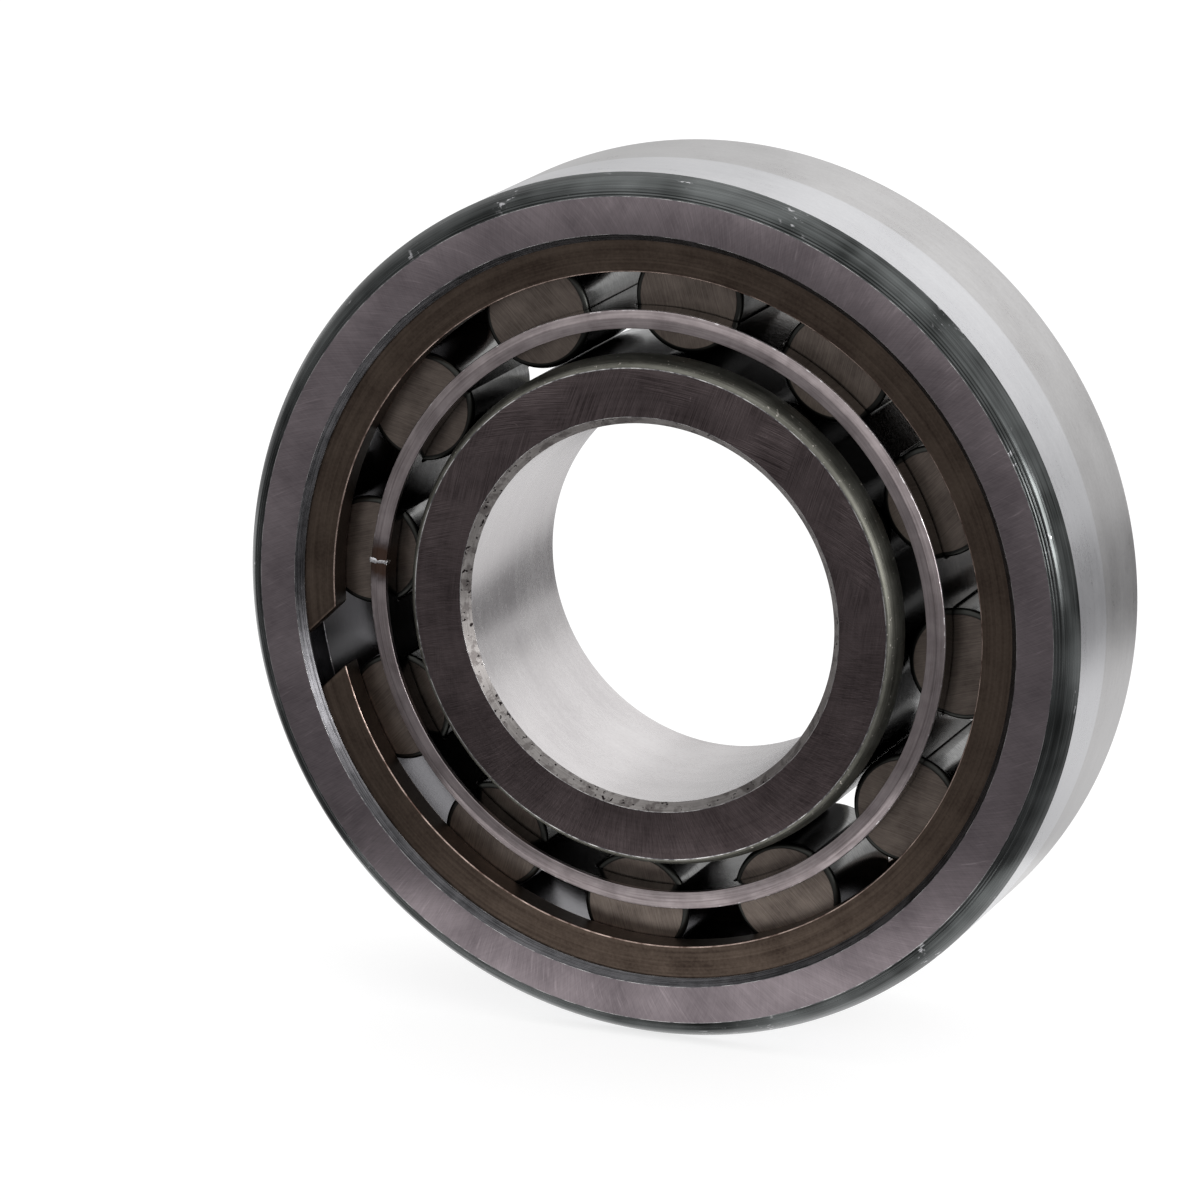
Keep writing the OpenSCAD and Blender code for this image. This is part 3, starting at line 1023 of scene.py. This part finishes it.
def weld_bead(name, side):
    """A bead over the front (side 1) or rear (side -1) band."""
    bm = bmesh.new()
    outward = Vector((math.cos(WELD_ANGLE), 0, math.sin(WELD_ANGLE)))
    around_hoop = Vector((-math.sin(WELD_ANGLE), 0, math.cos(WELD_ANGLE)))
    rings = []
    path = bead_path()
    for i, (r, h, across, along) in enumerate(path):
        swell = 1 + 0.16 * math.sin(2.3 * i) + 0.1 * math.sin(5.1 * i + 1)
        taper = min(1, 0.35 + 0.35 * min(i, len(path) - 1 - i))
        normal = outward * across + Vector((0, -side * along, 0))
        centre = outward * r + Vector((0, -side * h, 0))
        drift = 0.05 * math.sin(1.1 * i)
        ring = []
        for k in range(BEAD_POINTS):
            a = 2 * math.pi * k / BEAD_POINTS
            spot = (centre + around_hoop * (drift + BEAD_HALF_WIDTH * swell * taper * math.cos(a))
                    + normal * (BEAD_HEIGHT * min(swell, 1) * taper * math.sin(a)))
            ring.append(bm.verts.new(spot * MM))
        rings.append(ring)
    for low, high in zip(rings, rings[1:]):
        faces_between(bm, low, high)
    bm.faces.new(rings[0])
    bm.faces.new(rings[-1])
    return finish_mesh(name, bm, [weld_steel])


weld_steel = steel("frozen_weld_steel", weld_steel_recipe)
beads = [weld_bead("weld_bead_front", 1), weld_bead("weld_bead_rear", -1)]
print("weld beads:", [len(bead.data.polygons) for bead in beads])

# %% [markdown]
# ## The retaining rings
#
# A retaining ring is a flat spring of tempered steel, split by a slanted cut so that it can be
# squeezed into its groove. It isn't a full turn, and its cut ends aren't radial, so a plain
# lathe won't do. The cut is measured on the CAD node. Each point of the section then runs from
# one cut to the other at its own radius, and the ends get a small chamfer like the rest.

# %% Measure the cuts


def split_of(node):
    """For the two cuts, the angles at the inner and the outer radius: (start, end) pairs."""
    pairs = []
    for radius in (snap_inner_r, groove_r):
        angles = sorted({math.atan2(v.co.z, v.co.x) for v in cad_nodes[node].data.vertices
                         if abs(math.hypot(v.co.x, v.co.z) / MM - radius) < 0.02})
        gaps = [(b - a, b, a) for a, b in zip(angles, angles[1:])]
        gaps.append((angles[0] + 2 * math.pi - angles[-1], angles[0] + 2 * math.pi, angles[-1]))
        _, start, end = max(gaps)
        pairs.append((start, end + 2 * math.pi))
    return pairs


def cut_angle(inner_angle, outer_angle, radius):
    """The angle at one radius of the straight line between the cut's inner and outer corner."""
    a = Vector((math.cos(inner_angle), math.sin(inner_angle))) * snap_inner_r
    b = Vector((math.cos(outer_angle), math.sin(outer_angle))) * groove_r
    along = b - a
    mid = a.dot(along)
    share = (-mid + math.sqrt(mid * mid - along.length_squared
                              * (a.length_squared - radius * radius))) / along.length_squared
    spot = a + along * share
    angle = math.atan2(spot.y, spot.x)
    return angle + 2 * math.pi * round((inner_angle - angle) / (2 * math.pi))


for node in ("front_retaining_ring", "rear_retaining_ring"):
    print(node, [[round(math.degrees(a), 1) for a in pair] for pair in split_of(node)])

# %% Build the retaining rings
RING_STEPS = 320       # facets from one cut round to the other
END_CHAMFER = 0.12     # mm, at the cut ends
EASE = 0.12            # mm, the edge break of the section


def spring_steel_recipe(tree, at):
    """Tempered spring steel: dark brown scale with faint rings and rubbed specks."""
    ring = round_lines(tree, at, at["radius"], 0.3, 1.5)
    cloud = blotches(tree, at, 3.5)
    grain = blotches(tree, at, 0.3, 3)
    tone = total(tree, (ramp(tree, ring), 0.4), (ramp(tree, cloud, 0.32, 0.68), 0.35),
                 (ramp(tree, grain), 0.25))
    colour = mix(tree, tone, "#352b26", "#6b5e54")
    relief = total(tree, (ring, 0.5), (grain, 0.4))
    return colour, ramp(tree, tone, 0.1, 0.9, 0.46, 0.34), relief, 0.012


def rubbed_edge_recipe(tree, at):
    """The rubbed edge of the spring steel: a thin pink-brown line, partly wear and partly a painted
    highlight.
    """
    # pale patches along the edge: partly rubbed wear, partly a painted highlight
    patch = ramp(tree, blotches(tree, at, 1.5, 4), 0.36, 0.6)
    return (mix(tree, patch, "#6b5850", "#d6bfb4"),
            ramp(tree, patch, 0.0, 1.0, 0.38, 0.26), patch, 0.005)


spring_steel = steel("tempered_spring_steel", spring_steel_recipe)
rubbed_steel = steel("rubbed_spring_steel_edge", rubbed_edge_recipe)


def retaining_ring(name, node, low, high):
    """A split ring between two heights, from one cut of its CAD node round to the other."""
    section = soften([(snap_inner_r, low, EASE, "body"), (snap_inner_r, high, EASE, "body"),
                      (groove_r, high, EASE, "body"), (groove_r, low, EASE, "body")], "edge")
    (start_in, end_in), (start_out, end_out) = split_of(node)
    if start_out - start_in > math.pi:
        start_out -= 2 * math.pi
        end_out -= 2 * math.pi
    middle = Vector(((snap_inner_r + groove_r) / 2, (low + high) / 2))
    chamfer_share = END_CHAMFER / (snap_inner_r * (end_in - start_in))
    shares = [0, chamfer_share] + [k / RING_STEPS for k in range(1, RING_STEPS)] \
        + [1 - chamfer_share, 1]
    bm = bmesh.new()
    rows = []
    for share in shares:
        row = []
        for r, h, _ in section:
            if share in (0, 1):
                inward = middle - Vector((r, h))
                r += math.copysign(min(END_CHAMFER, abs(inward.x)), inward.x)
                h += math.copysign(min(END_CHAMFER, abs(inward.y)), inward.y)
            start, end = cut_angle(start_in, start_out, r), cut_angle(end_in, end_out, r)
            angle = start + (end - start) * share
            row.append(bm.verts.new((r * math.cos(angle) * MM, -h * MM, r * math.sin(angle) * MM)))
        rows.append(row)
    for here, there in zip(rows, rows[1:]):
        for j, (_, _, finish) in enumerate(section):
            k = (j + 1) % len(section)
            face = bm.faces.new((here[j], here[k], there[k], there[j]))
            face.material_index = 1 if finish == "edge" else 0
    bm.faces.new(rows[0])
    bm.faces.new(rows[-1])
    return finish_mesh(name, bm, [spring_steel, rubbed_steel])


front_retainer = retaining_ring("front_retaining_ring_spring", "front_retaining_ring",
                                snap_back, snap_front)
rear_retainer = retaining_ring("rear_retaining_ring_spring", "rear_retaining_ring",
                               -snap_front, -snap_back)
print("retaining rings:", len(front_retainer.data.polygons), len(rear_retainer.data.polygons))

# %% [markdown]
# ## Join the pieces to the bodies
#
# Each piece rides on the CAD body that it belongs to and stands for that body's CAD solid, so
# a pose that turns the inner ring also rolls the rollers and carries the cage.

# %% Ride and replace
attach(outer_ring, "outer_ring")
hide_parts("outer_ring")
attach(inner_ring, "inner_ring")
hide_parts("inner_ring")
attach(cage, "cage")
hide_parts("cage")
for bead in beads:
    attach(bead, "cage")
for piece, node in ((front_retainer, "front_retaining_ring"),
                    (rear_retainer, "rear_retaining_ring")):
    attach(piece, "outer_ring")
    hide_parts(node)
for piece, node in zip(roller_pieces, rollers):
    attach(piece, node)
    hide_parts(node)

# %% [markdown]
# ## Floor and light
#
# Polished steel shows its surroundings, so the surroundings matter as much as the lamps. The
# floor is plain and pale. A broad panel overhead and one behind give the bright outside its
# even glow, and a small softbox at the right picks out the corner. A dark apron lies round the
# bearing, as black card does in a product studio. Only reflections see it: it turns the side
# faces dark and leaves the floor pale. It glows more behind the bearing, for the bore to
# reflect, and a dimmer band across that glow draws the soft dark stripe in the bore.

# %% Floor and apron
FLOOR_R = 3.0                # metres, as are the rest here
APRON_IN = 0.048
APRON_OUT = 2.6
APRON_LIFT = 0.0005          # from the floor up to the apron
DISC_SIDES = 96
BEHIND = (-0.02, 0.06)       # along Y, where the apron brightens towards the back
LEFTWARD = (-0.13, -0.05)    # along X, where it brightens towards the left
BAND_STARTS = (0.105, 0.135)     # along Y, where the dimmer band fades in
BAND_ENDS = (0.35, 0.9)          # and where it fades out


def disc(name, inner, outer, height, material):
    """A flat ring on the floor, or a disc when inner is 0, in metres."""
    bm = bmesh.new()
    turns = [2 * math.pi * k / DISC_SIDES for k in range(DISC_SIDES)]
    rows = [[bm.verts.new((r * math.cos(turn), r * math.sin(turn), height)) for turn in turns]
            for r in (outer, inner) if r > 0]
    if inner > 0:
        faces_between(bm, *rows)
    else:
        bm.faces.new(rows[0])
    mesh = bpy.data.meshes.new(name)
    bm.to_mesh(mesh)
    bm.free()
    mesh.materials.append(material)
    piece = bpy.data.objects.new(name, mesh)
    bpy.context.scene.collection.objects.link(piece)
    return piece


def plain_material(name, colour, glow, behind=0.0, left=0.0, dip=0.0):
    """A matt stage material that glows, by so much more behind the bearing and on the left.

    dip is by how much it glows less in a band that lies across the part behind.
    """
    material = bpy.data.materials.new(name)
    material.use_nodes = True
    tree = material.node_tree
    tree.nodes.clear()
    place = add(tree, "ShaderNodeTexCoord").outputs["Object"]
    axes = add(tree, "ShaderNodeSeparateXYZ", {0: place}).outputs
    strength = total(tree, (ramp(tree, axes["Y"], *BEHIND, glow, glow + behind), 1.0),
                     (ramp(tree, axes["X"], *LEFTWARD, left, 0.0), 1.0),
                     (ramp(tree, axes["Y"], *BAND_STARTS, 0.0, dip), -1.0),
                     (ramp(tree, axes["Y"], *BAND_ENDS, 0.0, dip), 1.0))
    shader = add(tree, "ShaderNodeBsdfPrincipled",
                 {"Base Color": hex_colour(colour), "Roughness": 0.9,
                  "Specular IOR Level": 0.1, "Emission Color": hex_colour("#ffffff"),
                  "Emission Strength": strength})
    add(tree, "ShaderNodeOutputMaterial", {"Surface": shader.outputs[0]})
    return material


floor_z = -outside_r * MM
disc("floor", 0, FLOOR_R, floor_z, plain_material("pale_paper_floor", "#a2a2a2", 0.73))
apron = disc("dark_apron", APRON_IN, APRON_OUT, floor_z + APRON_LIFT,
             plain_material("dark_felt_apron", "#262428", 0.18, behind=0.66, left=0.14, dip=0.62))
apron.visible_camera = False
apron.visible_diffuse = False
apron.visible_shadow = False
apron.visible_transmission = False
print("floor at", round(floor_z / MM, 1), "mm")

# %% Lights


def panel(name, place, target, size, power):
    """A soft rectangular light that faces its target."""
    data = bpy.data.lights.new(name, "AREA")
    data.shape = "RECTANGLE"
    data.size, data.size_y = size
    data.energy = power
    light = bpy.data.objects.new(name, data)
    light.location = place
    light.rotation_euler = (Vector(target) - Vector(place)).to_track_quat("-Z", "Y").to_euler()
    bpy.context.scene.collection.objects.link(light)
    return light


panel("overhead_panel", (-0.1, 0.1, 1.2), (0, 0, 0), (1.6, 1.6), 2.5)
panel("back_panel", (0.5, 1.5, 0.75), (0, 0, 0.02), (1.8, 1.1), 1.5)
panel("right_softbox", (0.83, -0.33, 0.14), (0, 0, 0), (0.3, 0.26), 2.6)
print("lights set:", [light.name for light in bpy.data.lights])

# %% [markdown]
# ## The room
#
# Beyond the panels the steel reflects the room. An even grey would flatten every curve, so the
# room is paler overhead than at the horizon, and it falls off to less than half on the left.

# %% World
world = bpy.data.worlds.new("studio")
world.use_nodes = True
sky = world.node_tree
toward = add(sky, "ShaderNodeSeparateXYZ", {0: add(sky, "ShaderNodeTexCoord").outputs["Generated"]})
rise = ramp(sky, toward.outputs["Z"], -0.05, 0.35, 0.55, 0.9)
left = ramp(sky, toward.outputs["X"], -1.0, -0.4, 0.4, 1.0)
strength = add(sky, "ShaderNodeMath", {0: rise, 1: left}, operation="MULTIPLY").outputs[0]
sky.nodes["Background"].inputs["Color"].default_value = hex_colour("#ffffff")
sky.links.new(strength, sky.nodes["Background"].inputs["Strength"])
bpy.context.scene.world = world
bpy.context.scene.view_settings.view_transform = "Standard"
print("world:", len(sky.nodes), "nodes")

# %% [markdown]
# ## The camera
#
# A long lens from half a metre keeps the circles nearly true ellipses. The camera looks from
# the front, a little from the right and a little from above.

# %% Camera
lens = bpy.data.cameras.new("long_lens")
lens.lens = 181.5
lens.sensor_width = 36
lens.clip_end = 20
camera = bpy.data.objects.new("camera", lens)
camera.location = (0.1926, -0.4970, 0.1420)
camera.rotation_euler = Vector((-0.36274, 0.89508, -0.25933)).to_track_quat("-Z", "Y").to_euler()
bpy.context.scene.collection.objects.link(camera)
bpy.context.scene.camera = camera
print("camera at", tuple(camera.location))
